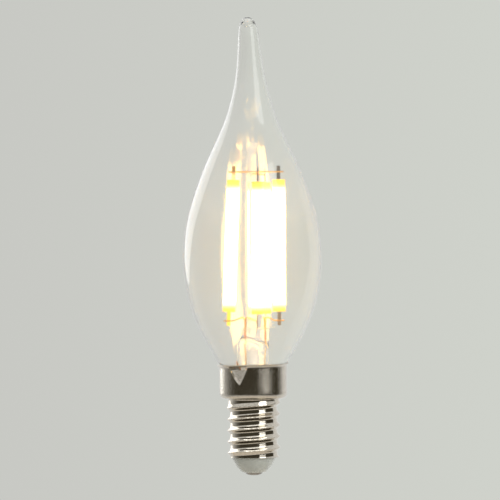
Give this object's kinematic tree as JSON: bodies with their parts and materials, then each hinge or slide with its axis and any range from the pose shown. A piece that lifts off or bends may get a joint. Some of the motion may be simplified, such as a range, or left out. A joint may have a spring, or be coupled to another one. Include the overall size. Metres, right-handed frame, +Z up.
{
  "type": "candle bulb",
  "caption": "Lit candle bulb: clear glass with a drawn-out curved tail, upright LED filaments on a glass stem, and a small plated screw cap with a pressed collar.",
  "frame": {"origin": "middle of the flat land on the centre contact, where the bulb touches its socket's spring", "axes": "+Z up the bulb's axis from the contact to the glass tip; the pressed facet of the collar is at the front left, towards -Y"},
  "size_m": [0.035, 0.035, 0.116],
  "materials": {
    "clear_glass": "clear blown glass",
    "stem_glass": "clear drawn glass, pressed at the stem",
    "phosphor": "satin silicone with yellow phosphor, lit",
    "substrate_ceramic": "white ceramic strip",
    "tab_metal": "plain stamped metal",
    "wire_metal": "drawn wire",
    "dumet_copper": "copper-red oxidised seal wire",
    "cap_nickel": "bright nickel plate with a fine drawn grain",
    "insulator_resin": "pale grey-white moulding, slightly translucent",
    "contact_metal": "satin tinned metal",
    "cap_cement": "matt basing cement",
    "board_laminate": "matt glass-fibre laminate",
    "component_black": "matt black moulding",
    "capacitor_sleeve": "dark shrink sleeve",
    "resistor_lacquer": "lacquered body",
    "sleeve_film": "translucent insulating film"
  },
  "bodies": {
    "root": {"glass_envelope": "clear_glass", "stem_flare": "stem_glass", "exhaust_tube": "stem_glass", "centre_post": "stem_glass", "inner_lead_left": "wire_metal", "inner_lead_right": "wire_metal", "dumet_seal_left": "dumet_copper", "dumet_seal_right": "dumet_copper", "outer_lead_left": "wire_metal", "outer_lead_right": "wire_metal", "cross_wire_left": "wire_metal", "cross_wire_right": "wire_metal", "side_bridge_wire": "wire_metal", "front_bridge_wire": "wire_metal", "driver_board": "board_laminate", "bridge_rectifier": "component_black", "driver_chip": "component_black", "smoothing_capacitor": "capacitor_sleeve", "fuse_resistor": "resistor_lacquer", "driver_sleeve": "sleeve_film", "live_wire": "wire_metal", "neutral_wire": "wire_metal", "screw_shell": "cap_nickel", "cap_insulator": "insulator_resin", "centre_contact": "contact_metal", "cap_cement": "cap_cement", "filament_left_coat": "phosphor", "filament_left_substrate": "substrate_ceramic", "filament_left_foot_tab": "tab_metal", "filament_left_head_tab": "tab_metal", "filament_right_coat": "phosphor", "filament_right_substrate": "substrate_ceramic", "filament_right_foot_tab": "tab_metal", "filament_right_head_tab": "tab_metal", "filament_front_coat": "phosphor", "filament_front_substrate": "substrate_ceramic", "filament_front_foot_tab": "tab_metal", "filament_front_head_tab": "tab_metal", "filament_back_coat": "phosphor", "filament_back_substrate": "substrate_ceramic", "filament_back_foot_tab": "tab_metal", "filament_back_head_tab": "tab_metal"}
  },
  "joints": []
}
